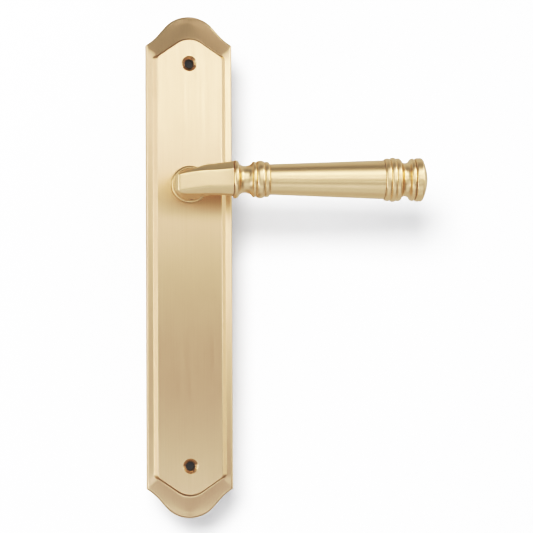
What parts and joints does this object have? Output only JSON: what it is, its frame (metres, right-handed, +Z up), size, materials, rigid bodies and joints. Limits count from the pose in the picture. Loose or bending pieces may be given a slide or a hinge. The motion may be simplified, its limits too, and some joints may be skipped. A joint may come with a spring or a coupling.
{
  "type": "lever handle lockset",
  "caption": "Lever door handle on a long shouldered backplate: a chamfered elbow carries a turned, tapered grip, and a spring cassette behind the plate returns the lever.",
  "frame": {"origin": "the spindle's axis at the door face, which is the plane of the backplate's rear rim", "axes": "+X along the lever's grip, +Y into the door along the spindle, +Z up along the backplate; the front of the plate faces -Y"},
  "size_m": [0.1277, 0.1052, 0.24],
  "materials": {
    "plate_brass": "brushed lengthwise, lacquered",
    "lever_brass": "satin, lacquered",
    "nylon": "moulded",
    "cast_zinc": "as cast",
    "zinc_plated_steel": "zinc plated",
    "spring_steel": "dark oiled"
  },
  "bodies": {
    "plate": {"backplate": "plate_brass", "neck_collar": "lever_brass", "lever_bush": "nylon", "cassette_case": "cast_zinc", "cassette_cover": "zinc_plated_steel", "cassette_screw_1": "zinc_plated_steel", "cassette_screw_2": "zinc_plated_steel", "right_spring": "spring_steel", "left_spring": "spring_steel"},
    "lever": {"lever_neck": "lever_brass", "grub_screw": "zinc_plated_steel", "spindle": "zinc_plated_steel", "retaining_ring": "spring_steel", "inner_ferrule": "lever_brass", "grip_barrel": "lever_brass", "outer_ferrule": "lever_brass", "end_cap": "lever_brass", "tie_rod": "zinc_plated_steel", "cassette_rotor": "zinc_plated_steel"},
    "right_plunger": {"right_plunger": "zinc_plated_steel"},
    "left_plunger": {"left_plunger": "zinc_plated_steel"}
  },
  "joints": [
    {"name": "lever_turn", "type": "hinge", "parent": "plate", "child": "lever", "pos_m": [0, 0, 0], "axis": [0, 1, 0], "range_deg": [0, 40], "stiffness_Nm_per_rad": 1, "springref_deg": -28.65},
    {"name": "right_plunger_slide", "type": "slide", "parent": "plate", "child": "right_plunger", "axis": [0, 0, -1], "range_m": [0, 0.006], "deforming": ["right_spring"]},
    {"name": "left_plunger_slide", "type": "slide", "parent": "plate", "child": "left_plunger", "axis": [0, 0, 1], "range_m": [0, 0.006], "deforming": ["left_spring"]}
  ],
  "couplings": [
    {"joint": "right_plunger_slide", "follows": "lever_turn", "m_per_rad": 0.0083},
    {"joint": "left_plunger_slide", "follows": "lever_turn", "m_per_rad": 0.0083}
  ]
}
